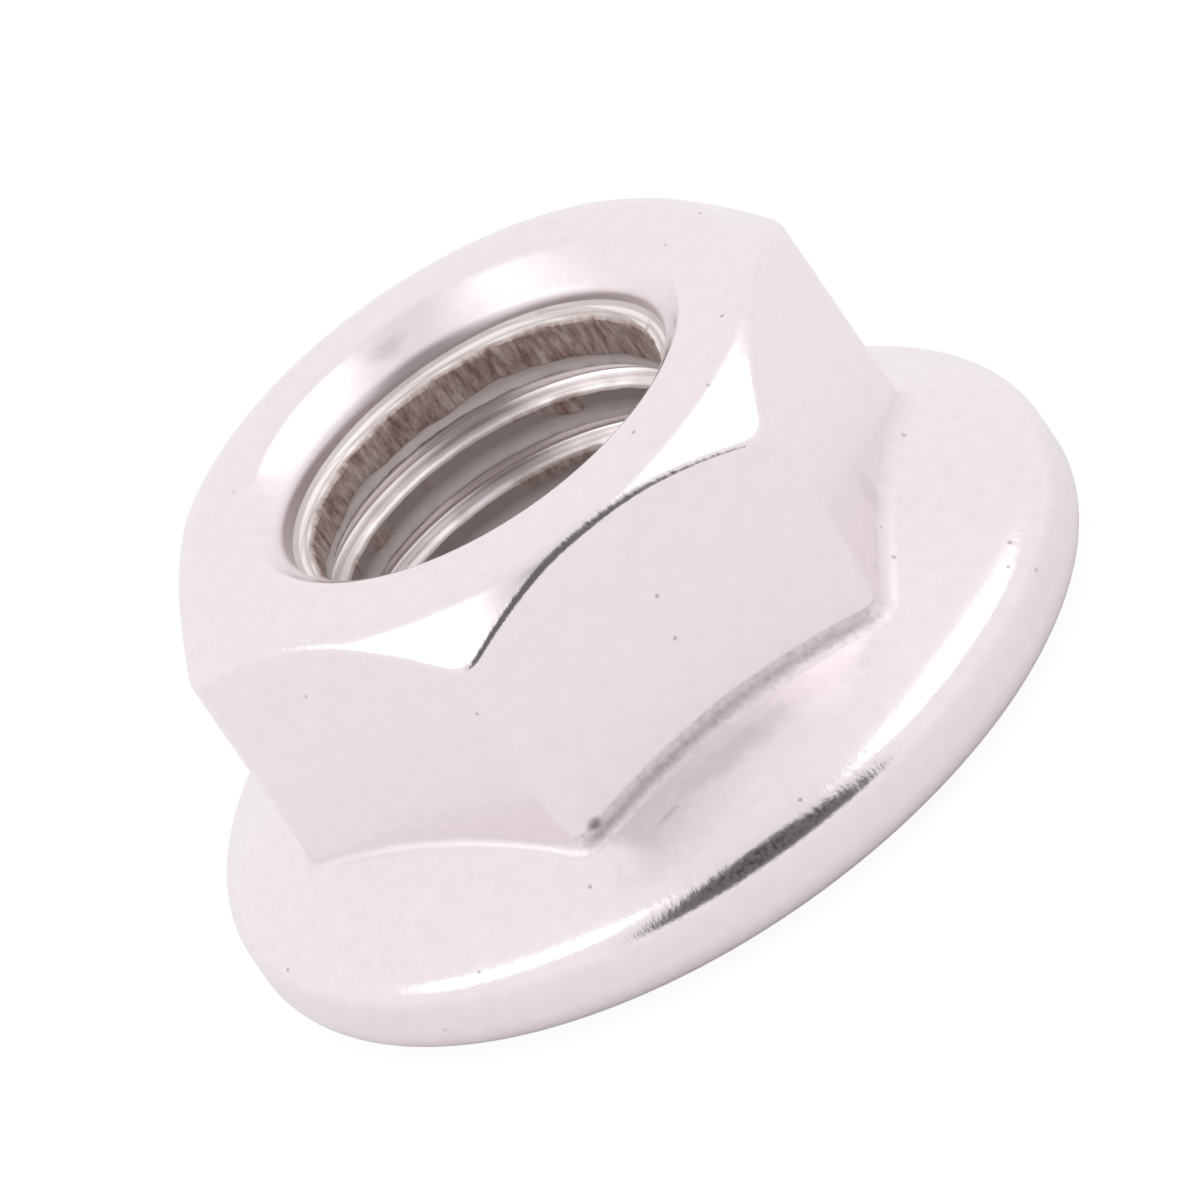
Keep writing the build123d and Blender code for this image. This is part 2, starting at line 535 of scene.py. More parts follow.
# %% [markdown]
# The thread starts in a cone at either end. The cones simply win wherever they are wider than the
# thread, which is how a countersink and a thread meet. What is left at the crests' radius is crest,
# and the sheet remembers it for the finish.

# %% The cones at both ends
below_top = node(thread_tree, MATHS, (size["Top"], height), operation="SUBTRACT")
top_inset = node(thread_tree, MATHS, (below_top, size["Cone spread"]), operation="MULTIPLY")
top_cone = node(thread_tree, MATHS, (size["Top radius"], top_inset), operation="SUBTRACT")
above_bottom = node(thread_tree, MATHS, (height, size["Bottom"]), operation="SUBTRACT")
low_inset = node(thread_tree, MATHS, (above_bottom, size["Cone spread"]), operation="MULTIPLY")
low_cone = node(thread_tree, MATHS, (size["Bottom radius"], low_inset), operation="SUBTRACT")
cones = node(thread_tree, MATHS, (top_cone, low_cone), operation="MAXIMUM")
wall = node(thread_tree, MATHS, (groove, cones), operation="MAXIMUM")
past_crest = node(thread_tree, MATHS, (wall, size["Crest radius"]), operation="SUBTRACT")
crest = node(thread_tree, RAMP, (past_crest, size["Crest fade start"], size["Crest fade end"], 1.0, 0.0))
print("cones from radius", THREAD["Top radius"], "and", THREAD["Bottom radius"], "mm")

# %% [markdown]
# The tap pushes the crests a little out of true as it tears them. A noise that runs round the bore
# with the sheet, with features 0.5 mm wide and 0.4 mm high, moves them outwards by up to 0.03 mm. It
# reads only the place on the sheet, so it is the same at every run and needs no seed.

# %% Tear the crests
angle = node(thread_tree, MATHS, (turn, 2 * pi), operation="MULTIPLY")
across = node(thread_tree, MATHS, (angle,), operation="COSINE")
deep = node(thread_tree, MATHS, (angle,), operation="SINE")
noise_radius = node(thread_tree, MATHS, (size["Crest radius"], size["Tear width"]), operation="DIVIDE")
round_bore = node(thread_tree, "ShaderNodeCombineXYZ", (
    node(thread_tree, MATHS, (across, noise_radius), operation="MULTIPLY"),
    node(thread_tree, MATHS, (deep, noise_radius), operation="MULTIPLY"),
    node(thread_tree, MATHS, (height, size["Tear height"]), operation="DIVIDE")))
tear = node(thread_tree, NOISE, {"Vector": round_bore, "Scale": 1.0, "Detail": 3.0, "Roughness": 0.6})
tear_share = node(thread_tree, RAMP, (tear, 0.38, 0.6, 0.0, 1.0))
torn = node(thread_tree, MATHS, (crest, tear_share), operation="MULTIPLY")
radius = node(thread_tree, MATHS, (torn, size["Tear depth"], wall), operation="MULTIPLY_ADD")
print("tears up to", THREAD["Tear depth"], "mm deep")

# %% [markdown]
# Two numbers go with the sheet for its finish: "crest" and "climb". Then every corner moves from the
# flat grid to its place in the bore. Rows that the two mouths hold at the same height, and the two
# ends of each turn, lie on one another, and merging closes them.

# %% Shape the sheet
STORE = "GeometryNodeStoreNamedAttribute"
thread_place = node(thread_tree, "ShaderNodeCombineXYZ", (
    node(thread_tree, MATHS, (radius, across), operation="MULTIPLY"),
    node(thread_tree, MATHS, (radius, deep), operation="MULTIPLY"),
    height))
marked = node(
    thread_tree, STORE, {"Geometry": sheet, "Name": "crest", "Value": crest},
    data_type="FLOAT", domain="POINT")
climbing = node(
    thread_tree, STORE, {"Geometry": marked, "Name": "climb", "Value": climb},
    data_type="FLOAT", domain="POINT")
shaped = node(thread_tree, "GeometryNodeSetPosition", {"Geometry": climbing, "Position": thread_place})
merged = node(thread_tree, "GeometryNodeMergeByDistance", {"Geometry": shaped, "Distance": MERGE_DISTANCE})
real = node(thread_tree, "GeometryNodeRealizeInstances", (merged,))
coated = node(thread_tree, "GeometryNodeSetMaterial", {"Geometry": real, "Material": bore_steel})
node(thread_tree, "NodeGroupOutput", {"Geometry": coated})
tapped_thread = mesh_from_tree("tapped_thread", thread_tree, THREAD)

# %% [markdown]
# ## The serrations
#
# The bearing side carries a ring of ratchet teeth that bite when the nut tries to turn back. They
# could be modelled one by one, but all are alike. One tooth is a steep wall, a ramp and a narrow
# crest, all running through the axis, so that it deepens outwards. A grid of 7 by 6 faces is folded
# into one tooth, and the tooth is set round the axis as many times as the nut has teeth.
#
# Across the grid, columns 0 to 1 are the steep wall, 1 to 6 the ramp and 6 to 7 the crest. Along it,
# rows 1 to 5 lead from the inner radius to the outer one. Rows 0 and 6 lie over the first and last of
# them at the flange's height, and close the tooth's ends.

# %% Serration sizes
TEETH = 24
CREST_WIDTH = 0.3
RING_OUTSIDE = 9.6
SERRATIONS = {
    "Teeth": TEETH,
    "Inner radius": 5.9,
    "Outer radius": RING_OUTSIDE,
    "Height": FLANGE_BASE,
    "Crest share": CREST_WIDTH / RING_OUTSIDE / radians(360 / TEETH),
}
print("teeth", SERRATIONS["Teeth"], "each", SERRATIONS["Height"], "mm high")

# %% Across a tooth: wall, ramp and crest
tooth_tree, size = new_geometry_tree("serrations", SERRATIONS)
grid = node(tooth_tree, "GeometryNodeMeshGrid", {
    "Size X": 7.0, "Size Y": 6.0, "Vertices X": 8, "Vertices Y": 7})
position = node(tooth_tree, "GeometryNodeInputPosition")
on_grid = node(tooth_tree, "ShaderNodeSeparateXYZ", (position,)).outputs
from_left = node(tooth_tree, MATHS, (on_grid["X"], 3.5), operation="ADD")
column = node(tooth_tree, MATHS, (from_left,), operation="ROUND")
past_first = node(tooth_tree, MATHS, (column, 1.0), operation="SUBTRACT")
along_ramp = node(tooth_tree, MATHS, (past_first, 5.0), operation="DIVIDE", use_clamp=True)
along_crest = node(tooth_tree, MATHS, (column, 6.0), operation="SUBTRACT", use_clamp=True)
ramp_share = node(tooth_tree, MATHS, (1.0, size["Crest share"]), operation="SUBTRACT")
on_ramp = node(tooth_tree, MATHS, (along_ramp, ramp_share), operation="MULTIPLY")
on_crest = node(tooth_tree, MATHS, (along_crest, size["Crest share"]), operation="MULTIPLY")
share = node(tooth_tree, MATHS, (on_ramp, on_crest), operation="ADD")
past_wall = node(tooth_tree, MATHS, (column, 1.0), operation="MINIMUM")
ramp_left = node(tooth_tree, MATHS, (1.0, along_ramp), operation="SUBTRACT")
fall = node(tooth_tree, MATHS, (past_wall, ramp_left), operation="MULTIPLY")
print("crest takes", round(SERRATIONS["Crest share"], 3), "of a tooth")

# %% Along a tooth: deeper outwards, closed at its ends
from_front = node(tooth_tree, MATHS, (on_grid["Y"], 3.0), operation="ADD")
row = node(tooth_tree, MATHS, (from_front,), operation="ROUND")
past_end = node(tooth_tree, MATHS, (row, 1.0), operation="SUBTRACT")
along_radius = node(tooth_tree, MATHS, (past_end, 4.0), operation="DIVIDE", use_clamp=True)
width = node(tooth_tree, MATHS, (size["Outer radius"], size["Inner radius"]), operation="SUBTRACT")
radius = node(tooth_tree, MATHS, (along_radius, width, size["Inner radius"]), operation="MULTIPLY_ADD")
reach = node(tooth_tree, MATHS, (radius, size["Outer radius"]), operation="DIVIDE")
depth = node(tooth_tree, MATHS, (size["Height"], reach), operation="MULTIPLY")
tooth = node(tooth_tree, MATHS, (depth, fall), operation="MULTIPLY")
from_middle = node(tooth_tree, MATHS, (row, 3.0), operation="SUBTRACT")
off_middle = node(tooth_tree, MATHS, (from_middle,), operation="ABSOLUTE")
is_end = node(tooth_tree, MATHS, (off_middle, 2.5), operation="GREATER_THAN")
end_height = node(tooth_tree, MATHS, (is_end, size["Height"]), operation="MULTIPLY")
is_inside = node(tooth_tree, MATHS, (1.0, is_end), operation="SUBTRACT")
height = node(tooth_tree, MATHS, (is_inside, tooth, end_height), operation="MULTIPLY_ADD")
print("teeth from radius", SERRATIONS["Inner radius"], "to", SERRATIONS["Outer radius"], "mm")

# %% Fold the grid and set the teeth round the axis
step = node(tooth_tree, MATHS, (2 * pi, size["Teeth"]), operation="DIVIDE")
angle = node(tooth_tree, MATHS, (share, step), operation="MULTIPLY")
across = node(tooth_tree, MATHS, (angle,), operation="COSINE")
deep = node(tooth_tree, MATHS, (angle,), operation="SINE")
tooth_place = node(tooth_tree, "ShaderNodeCombineXYZ", (
    node(tooth_tree, MATHS, (radius, across), operation="MULTIPLY"),
    node(tooth_tree, MATHS, (radius, deep), operation="MULTIPLY"),
    height))
folded = node(tooth_tree, "GeometryNodeSetPosition", {"Geometry": grid, "Position": tooth_place})
centres = node(tooth_tree, "GeometryNodePoints", {"Count": size["Teeth"]})
number = node(tooth_tree, "GeometryNodeInputIndex")
turned = node(tooth_tree, MATHS, (number, step), operation="MULTIPLY")
ring = node(tooth_tree, "GeometryNodeInstanceOnPoints", {
    "Points": centres, "Instance": folded,
    "Rotation": node(tooth_tree, "ShaderNodeCombineXYZ", {"Z": turned})})
real = node(tooth_tree, "GeometryNodeRealizeInstances", (ring,))
merged = node(tooth_tree, "GeometryNodeMergeByDistance", {"Geometry": real, "Distance": MERGE_DISTANCE})
coated = node(tooth_tree, "GeometryNodeSetMaterial", {"Geometry": merged, "Material": die_steel})
node(tooth_tree, "NodeGroupOutput", {"Geometry": coated})
serrations = mesh_from_tree("serrations", tooth_tree, SERRATIONS)

# %% [markdown]
# ## One closed nut
#
# The three sheets are one lump of steel, so their open edges are joined. A Boolean union would need
# closed shapes, and would scatter small faces along the seams. The edges don't have the same number
# of points, so each gap is closed with a band of triangles that steps along whichever edge is
# behind.

# %% Find and join open edges
def open_ring(mesh, radius, height):
    """The corners of the open edge at a radius and height, in order round the axis."""
    found = [v for v in mesh.verts if v.is_boundary and abs(hypot(v.co.x, v.co.y) - radius) < 0.01
             and abs(v.co.z - height) < 0.002]
    return sorted(found, key=lambda v: atan2(v.co.y, v.co.x))


def close_gap(mesh, inner, outer):
    """Joins two rings with a band of triangles, and gives their number."""
    rings, at = (inner, outer), [0, 0]

    def next_angle(side):
        ring, following = rings[side], at[side] + 1
        corner = ring[following % len(ring)]
        return atan2(corner.co.y, corner.co.x) + 2 * pi * (following >= len(ring))

    while at[0] < len(inner) or at[1] < len(outer):
        outer_done = at[1] >= len(outer)
        side = 0 if outer_done or (at[0] < len(inner) and next_angle(0) <= next_angle(1)) else 1
        here = [rings[s][at[s] % len(rings[s])] for s in (0, 1)]
        following = rings[side][(at[side] + 1) % len(rings[side])]
        mesh.faces.new((here[0], here[1], following))
        at[side] += 1
    return sum(at)


print("ready to join", [sheet.name for sheet in (pressed_skin, tapped_thread, serrations)])

# %% [markdown]
# Three seams close the nut: the serrations to the underside, the underside to the thread, and the
# thread to the mouth. Each is given by the radius and height of its two edges. Then doubles are
# merged, the faces are turned outwards, folds of more than 35 degrees stay sharp, and millimetres
# become metres. No edge may be left without two faces.

# %% Join the sheets
SEAM_MERGE = 0.0015
SHARP_FOLD = 35
SEAMS = [
    ((SERRATIONS["Outer radius"], FLANGE_BASE), (FLANGE_INNER, FLANGE_BASE)),
    ((THREAD["Bottom radius"], FLANGE_BASE), (SERRATIONS["Inner radius"], FLANGE_BASE)),
    ((MOUTH_RADIUS, MOUTH_FLOOR), (MOUTH_RADIUS, MOUTH_JOIN)),
]


def gathered(sheets):
    """One bmesh with all the sheets, whose faces know which steel they are."""
    mesh = bmesh.new()
    for sheet in sheets:
        before = len(mesh.faces)
        mesh.from_mesh(sheet.data)
        mesh.faces.ensure_lookup_table()
        for face in mesh.faces[before:]:
            face.material_index = 1 if sheet is tapped_thread else 0
    return mesh


def join_nut(name, sheets):
    """The sheets as one closed mesh in metres."""
    mesh = gathered(sheets)
    for inner, outer in SEAMS:
        print("seam of", close_gap(mesh, open_ring(mesh, *inner), open_ring(mesh, *outer)), "triangles")
    bmesh.ops.remove_doubles(mesh, verts=mesh.verts, dist=SEAM_MERGE)
    bmesh.ops.recalc_face_normals(mesh, faces=mesh.faces)
    for face in mesh.faces:
        face.smooth = True
    for edge in mesh.edges:
        edge.smooth = len(edge.link_faces) == 2 and edge.calc_face_angle(0) < radians(SHARP_FOLD)
    print("edges not shared by two faces", sum(len(edge.link_faces) != 2 for edge in mesh.edges))
    print("triangles", sum(len(face.verts) - 2 for face in mesh.faces))
    print("volume", round(mesh.calc_volume(), 1), "cubic mm")
    bmesh.ops.scale(mesh, vec=(MM, MM, MM), verts=mesh.verts)
    item = new_mesh(name, [], [])
    mesh.to_mesh(item.data)
    mesh.free()
    for material in (die_steel, bore_steel):
        item.data.materials.append(material)
    return item


nut = join_nut("nut", [pressed_skin, tapped_thread, serrations])
for sheet in (pressed_skin, tapped_thread, serrations):
    bpy.data.objects.remove(sheet)

# %% [markdown]
# ## The bright pressed steel
#
# The pressed skin is austenitic stainless steel, tumbled with small stones until it is bright. It is
# metal through and through, so it has no colour but that of its reflection, which is a warm pale
# grey. Its mirror is soft, because tumbling leaves a finely peened surface. One ready-made pattern of
# worn steel could cover it, but then every part would be worn in the same way. Here each mark is a
# small pattern of its own, put where the process leaves it, and a few are painted shade, put where
# the steel is to look darker.
#
# The patterns read the nut's own space in millimetres, so they stay on the metal when it turns.

# %% Where things lie on the pressed steel
die_tree = new_material_tree(die_steel)
die_place = node(die_tree, "ShaderNodeTexCoord").outputs["Object"]
in_mm = node(die_tree, VECTOR_MATHS, {"Vector": die_place, "Scale": 1 / MM}, operation="SCALE")
x, y, z = node(die_tree, "ShaderNodeSeparateXYZ", (in_mm,)).outputs
foot, shoulder, edge, mouth = [
    node(die_tree, "ShaderNodeAttribute", attribute_name=name).outputs["Fac"]
    for name in ("foot", "shoulder", "edge", "mouth")]
folds = node(die_tree, MATHS, (shoulder, edge), operation="MAXIMUM")
print("the finish reads", list(MARK_RUNS))

# %% [markdown]
# Six noises make most of the patterns. A noise of scale 1 has features about one unit wide, so the
# scale is one over the size of a feature. The real rub of the stones is finer than a hair, and would
# not show at all. It is drawn 0.14 mm wide, as coarse as it needs to be, and the mirror's softness
# stands for the rest.

# %% Noise patterns, by the width of a feature in millimetres and their detail
PATTERNS = {
    "ragged edge": (0.3333, 4.0),
    "mottle": (0.3846, 5.0),
    "foot_grime_and_shade": (0.1667, 5.0),
    "painted_speck": (0.125, 5.0),
    "rub": (0.1429, 2.0),
    "wave": (0.8333, 3.0),
}
patterns = {}
for name, (width, detail) in PATTERNS.items():
    patterns[name] = node(die_tree, NOISE, {
        "Vector": in_mm, "Scale": 1 / width, "Detail": detail, "Roughness": 0.6})
print("patterns", {name: width for name, (width, detail) in PATTERNS.items()}, "mm")

# %% [markdown]
# The folds slid along the die, which scored them across. Those streaks are 0.3 mm apart round the
# shoulder and 0.67 mm long. Noise on the angle and the height draws them, so they run across the fold
# wherever it goes. With the rub of the stones added they break up the edges of every reflection along
# the shoulder, as they do on a real pressed part.

# %% Streaks across the folds
STREAK_SPACING = 0.3
STREAK_LENGTH = 0.6667
STREAK_REACH = 10.2
RUB_SHARE = 0.4
angle = node(die_tree, MATHS, (y, x), operation="ARCTAN2")
streak_place = node(die_tree, "ShaderNodeCombineXYZ", (
    node(die_tree, MATHS, (angle, STREAK_REACH / STREAK_SPACING), operation="MULTIPLY"),
    node(die_tree, MATHS, (z, 1 / STREAK_LENGTH), operation="MULTIPLY")))
streaks = node(die_tree, NOISE, {"Vector": streak_place, "Scale": 1.0, "Detail": 4.0, "Roughness": 0.6})
rubbed = node(die_tree, MATHS, (patterns["rub"], RUB_SHARE, streaks), operation="MULTIPLY_ADD")
print("streaks round the nut", round(2 * pi * STREAK_REACH / STREAK_SPACING))

# %% [markdown]
# Each dark patch is an ellipsoid in the nut's own space, and noise makes its edge ragged. The small ones
# are pits and knocks in the steel. The broad faint ones are painted shade: on the cone along the foot of
# the front flat, on a spot of the mouth's far slope, on the low part of the right flat and on the cone in
# front. The mark after the list has a name of its own, because it isn't a patch: it bounds the stretch of
# the shoulder where dark specks are painted into its dark reflection.

# %% Stains and painted shade as (middle, half sizes, strength), in millimetres
STAINS_AND_PAINTED_SHADE = [
    # Painted shade: the cone along the foot of the front flat.
    ((-0.3, -8.3, 3.5), (2.6, 0.5, 0.9), 0.16),
    # A pit at a corner.
    ((-3.83, -7.45, 3.77), (0.28, 0.28, 0.24), 0.75),
    # Painted shade: a spot on the mouth's far slope.
    ((0.3, 5.45, 9.6), (0.8, 0.3, 0.4), 0.2),
    # Small pits and a nick.
    ((5.37, -6.07, 3.6), (0.1, 0.12, 0.1), 0.6),
    ((7.76, -1.94, 3.64), (0.1, 0.2, 0.1), 0.4),
    ((-2.45, -8.35, 3.28), (0.5, 0.12, 0.2), 0.25),
    # Painted shade: the low part of the right flat, then the cone in front.
    ((6.0, -4.5, 4.5), (0.5, 0.8, 0.9), 0.1),
    ((2.4, -8.1, 3.45), (1.8, 0.8, 0.6), 0.08),
    ((-2.9, -9.0, 2.9), (3.2, 1.2, 1.0), 0.07),
]
PAINTED_SPECK_STRETCH = ((-1.3, -10.45, 2.19), (3.8, 1.4, 0.22), 1.0)
RAGGEDNESS = 0.9
ragged = node(die_tree, MATHS, (patterns["ragged edge"], RAGGEDNESS), operation="MULTIPLY")


def blot(middle, half_sizes, strength):
    """How dark a ragged ellipsoid in millimetres makes each place."""
    offset = node(die_tree, VECTOR_MATHS, (in_mm, middle), operation="SUBTRACT")
    scale = tuple(1 / half_size for half_size in half_sizes)
    shape = node(die_tree, VECTOR_MATHS, (offset, scale), operation="MULTIPLY")
    reach = node(die_tree, VECTOR_MATHS, (shape,), operation="LENGTH").outputs["Value"]
    uneven = node(die_tree, MATHS, (reach, ragged), operation="ADD")
    return node(die_tree, RAMP, (uneven, 0.7, 1.3, strength, 0.0))


print("stains_and_painted_shade", len(STAINS_AND_PAINTED_SHADE), "darkest", max(strength for middle, half_sizes, strength in STAINS_AND_PAINTED_SHADE))

# %% [markdown]
# Specks are pits 0.1 mm wide. They are dots of a Voronoi pattern with cells of 1.25 mm, and few of its
# dots lie in the skin, so there is about one to every 20 square millimetres. The darkest mark wins at
# each place.

# %% Specks, stains and painted shade
SPECK_CELL = 1.25
SPECK_CORE, SPECK_RIM = 0.0375 / SPECK_CELL, 0.075 / SPECK_CELL
speck = node(die_tree, "ShaderNodeTexVoronoi", {"Vector": in_mm, "Scale": 1 / SPECK_CELL})
marks = node(die_tree, RAMP, (speck, SPECK_CORE, SPECK_RIM, 0.5, 0.0))
for dark_patch in STAINS_AND_PAINTED_SHADE:
    marks = node(die_tree, MATHS, (marks, blot(*dark_patch)), operation="MAXIMUM")
print("specks in cells of", SPECK_CELL, "mm")

# %% [markdown]
# Grime specks and painted shade darken the fillet at the hexagon's foot along the front side, over the dark
# strip that it reflects there.
# Dark specks are painted into the dark reflection along one stretch of the shoulder, to mottle it.

# %% Grime and painted shade at the foot, painted specks on the shoulder
GRIME_AND_SHADE_FROM, GRIME_AND_SHADE_FULLY = -7.0, -7.4
# Painted shade: the front side's foot fillet is darkened together with its grime specks.
grime_and_shade_side = node(die_tree, RAMP, (y, GRIME_AND_SHADE_FROM, GRIME_AND_SHADE_FULLY, 0.1, 1.0))
grime_and_shade_foot = node(die_tree, MATHS, (foot, grime_and_shade_side), operation="MULTIPLY")
grime_and_shade_share = node(die_tree, RAMP, (patterns["foot_grime_and_shade"], 0.45, 0.72, 0.03, 0.3))
foot_grime_and_shade = node(die_tree, MATHS, (grime_and_shade_foot, grime_and_shade_share), operation="MULTIPLY")
marks = node(die_tree, MATHS, (marks, foot_grime_and_shade), operation="MAXIMUM")

# Painted reflection: dark specks only where the shoulder reflects the dark gap.
painted_speck_share = node(die_tree, RAMP, (patterns["painted_speck"], 0.46, 0.62, 0.0, 0.65))
painted_specks = node(die_tree, MATHS, (blot(*PAINTED_SPECK_STRETCH), painted_speck_share), operation="MULTIPLY")
painted_specks_on_shoulder = node(die_tree, MATHS, (shoulder, painted_specks), operation="MULTIPLY")
marks = node(die_tree, MATHS, (marks, painted_specks_on_shoulder), operation="MAXIMUM")
print("nodes so far", len(die_tree.nodes))

# %% [markdown]
# Clean steel varies a little from place to place, so two close greys are mottled, and every mark, the
# painted shade and painted specks among them, darkens them towards the same brown grey.

# %% Colour of the pressed steel
mottle = node(die_tree, RAMP, (patterns["mottle"], 0.35, 0.65, 0.0, 1.0))
clean = node(die_tree, MIX, {
    "Factor": mottle, COLOUR_A: linear("#ECE3E5"), COLOUR_B: linear("#F0E7E9")}, data_type="RGBA")
# The brown grey carries the stains and pits, and also the painted shade and painted specks.
colour = node(die_tree, MIX, {
    "Factor": marks, COLOUR_A: clean.outputs[MIXED_COLOUR], COLOUR_B: linear("#6E6464")}, data_type="RGBA")
print("colours #ECE3E5 to #F0E7E9, marks #6E6464")

# %% [markdown]
# A polished steel has a roughness of about 0.1, and a tumbled one of 0.2 to 0.3. The folds slid on the
# die and are smoother than the rest, while the stones don't reach into the foot and the mouth, which
# are duller and spread their reflections.

# %% Roughness of the pressed steel
TUMBLED, UNREACHED = 0.2, 0.42
FOLDS_SMOOTHER, FOOT_DULLER = -0.04, 0.08
unreached = node(die_tree, MATHS, (foot, mouth), operation="MAXIMUM")
dullness = node(die_tree, RAMP, (unreached, 0.0, 1.0, TUMBLED, UNREACHED))
smoother = node(die_tree, MATHS, (folds, FOLDS_SMOOTHER), operation="MULTIPLY")
foot_dullness = node(die_tree, MATHS, (foot, FOOT_DULLER, smoother), operation="MULTIPLY_ADD")
rough = node(die_tree, MATHS, (dullness, foot_dullness), operation="ADD")
print("roughness", TUMBLED, "on the flats,", round(UNREACHED + FOOT_DULLER, 2), "in the foot")

# %% [markdown]
# Two bumps stand on each other: shallow waves all over, which make the flats reflect unevenly, and the
# streaks, which are strong on the folds and absent elsewhere. A bump's distance is the height of its
# relief, a few hundredths of a millimetre here.

# %% Bumps of the pressed steel
fold_lift = node(die_tree, MATHS, (folds, 0.7), operation="MULTIPLY")
lift = node(die_tree, MATHS, (edge, 0.3, fold_lift), operation="MULTIPLY_ADD")
waves = node(die_tree, BUMP, {"Strength": 0.06, "Distance": 0.04 * MM, "Height": patterns["wave"]})
bumps = node(die_tree, BUMP, {"Strength": lift, "Distance": 0.014 * MM, "Height": rubbed, "Normal": waves})
steel = node(die_tree, "ShaderNodeBsdfPrincipled", {
    "Base Color": colour.outputs[MIXED_COLOUR], "Metallic": 1.0, "Roughness": rough, "Normal": bumps})
node(die_tree, "ShaderNodeOutputMaterial", {"Surface": steel})
print(die_steel.name, "has", len(die_tree.nodes), "nodes")

# %% [markdown]
# ## The tapped steel
#
# A tap leaves the flanks bright, with fine lines along the thread, and tears the crests, where its
# cutting oil bakes to a dull brown. One even metal would lose the turns in one another, and it is
# their light and dark bands that make a thread look cut, so the flanks' colour is also lifted nearly
# to white as painted light. The sheet's "crest" says which band a place is in, and the fraction of its
# "climb" is the place in the profile, which makes every line follow the helix by itself.
#
# The tears come in patches 2.2 mm wide and 1.4 mm high. They join all the way round on the first
# crest, above 7.4 mm, and are broken further down. The lower part of each crest stays plain.

# %% Where the crests are torn
PATCH_WIDTH, PATCH_HEIGHT = 2.222, 1.429
FIRST_CREST_FROM, FIRST_CREST_FULLY = 7.4 * MM, 7.9 * MM
bore_tree = new_material_tree(bore_steel)
crest = node(bore_tree, "ShaderNodeAttribute", attribute_name="crest").outputs["Fac"]
climb = node(bore_tree, "ShaderNodeAttribute", attribute_name="climb").outputs["Fac"]
bore_place = node(bore_tree, "ShaderNodeTexCoord").outputs["Object"]
bore_height = node(bore_tree, "ShaderNodeSeparateXYZ", (bore_place,)).outputs["Z"]
phase = node(bore_tree, MATHS, (climb,), operation="FRACT")
patch_scale = tuple(1 / (size_in_mm * MM) for size_in_mm in (PATCH_WIDTH, PATCH_WIDTH, PATCH_HEIGHT))
patch_place = node(
    bore_tree, "ShaderNodeMapping", {"Vector": bore_place, "Scale": patch_scale}, vector_type="POINT")
patches = node(bore_tree, NOISE, {"Vector": patch_place, "Scale": 1.0, "Detail": 2.0, "Roughness": 0.5})
on_first = node(bore_tree, RAMP, (bore_height, FIRST_CREST_FROM, FIRST_CREST_FULLY, 0.0, 0.3))
plain_part = node(bore_tree, RAMP, (phase, 0.1, 0.28, -0.35, 0.0))
upper_part = node(bore_tree, MATHS, (patches, plain_part), operation="ADD")
patchy = node(bore_tree, MATHS, (upper_part, on_first), operation="ADD")
torn_share = node(bore_tree, RAMP, (patchy, 0.54, 0.6))
torn = node(bore_tree, MATHS, (torn_share, crest), operation="MULTIPLY")
print("patches", PATCH_WIDTH, "mm wide and", PATCH_HEIGHT, "mm high")

# %% [markdown]
# Within a patch the tears run up and down across the crest, 0.2 mm wide and 0.67 mm long, because the
# tap drags the metal round and it splits across. The lines of the tap lie 0.12 mm apart along the
# thread, a little wider than real ones, so that they show.

# %% Tears and the lines of the tap
TEAR_WIDTH, TEAR_LENGTH = 0.2, 0.6667
TAP_LINES_PER_TURN = 13.0
tear_scale = tuple(1 / (size_in_mm * MM) for size_in_mm in (TEAR_WIDTH, TEAR_WIDTH, TEAR_LENGTH))
streak_place = node(
    bore_tree, "ShaderNodeMapping", {"Vector": bore_place, "Scale": tear_scale}, vector_type="POINT")
streaks = node(bore_tree, NOISE, {"Vector": streak_place, "Scale": 1.0, "Detail": 4.0, "Roughness": 0.65})
tear_colour = node(bore_tree, "ShaderNodeValToRGB", (streaks,))
baked, bare = tear_colour.color_ramp.elements
baked.position, baked.color = 0.35, linear("#8C706A")
bare.position, bare.color = 0.68, linear("#D6C6C0")
line_place = node(bore_tree, MATHS, (climb, TAP_LINES_PER_TURN), operation="MULTIPLY")
lines = node(bore_tree, NOISE, {"W": line_place, "Scale": 1.0, "Detail": 2.0}, noise_dimensions="1D")
bright = node(bore_tree, RAMP, (lines, 0.36, 0.48))
print("tap lines", round(THREAD["Pitch"] / TAP_LINES_PER_TURN, 2), "mm apart")

# %% [markdown]
# The cone above the first crest was turned, not tapped, so its lines are rings. There are 11 to a
# millimetre, about half of what a lathe leaves, because finer ones would not show.

# %% The turned cone above the thread
TURNED_LINES_PER_MM = 11.0
CONE_FROM, CONE_FULLY = 8.4 * MM, 8.8 * MM
ring_place = node(bore_tree, MATHS, (bore_height, TURNED_LINES_PER_MM / MM), operation="MULTIPLY")
rings = node(bore_tree, NOISE, {"W": ring_place, "Scale": 1.0, "Detail": 1.0}, noise_dimensions="1D")
ring_share = node(bore_tree, RAMP, (rings, 0.4, 0.6, 0.15, 0.8))
on_cone = node(bore_tree, RAMP, (bore_height, CONE_FROM, CONE_FULLY))
ringed = node(bore_tree, MATHS, (on_cone, ring_share), operation="MULTIPLY")
print("turned lines", round(1 / TURNED_LINES_PER_MM, 2), "mm apart")

# %% [markdown]
# The colours are layered from the flank up: the flank, lifted nearly to white as painted light, with
# its darker lines, the rings of the cone, the plain crest, which darkens down its width, and the tears
# on top.

# %% Colour of the tapped steel
down_crest = node(bore_tree, RAMP, (phase, 0.08, 0.3))
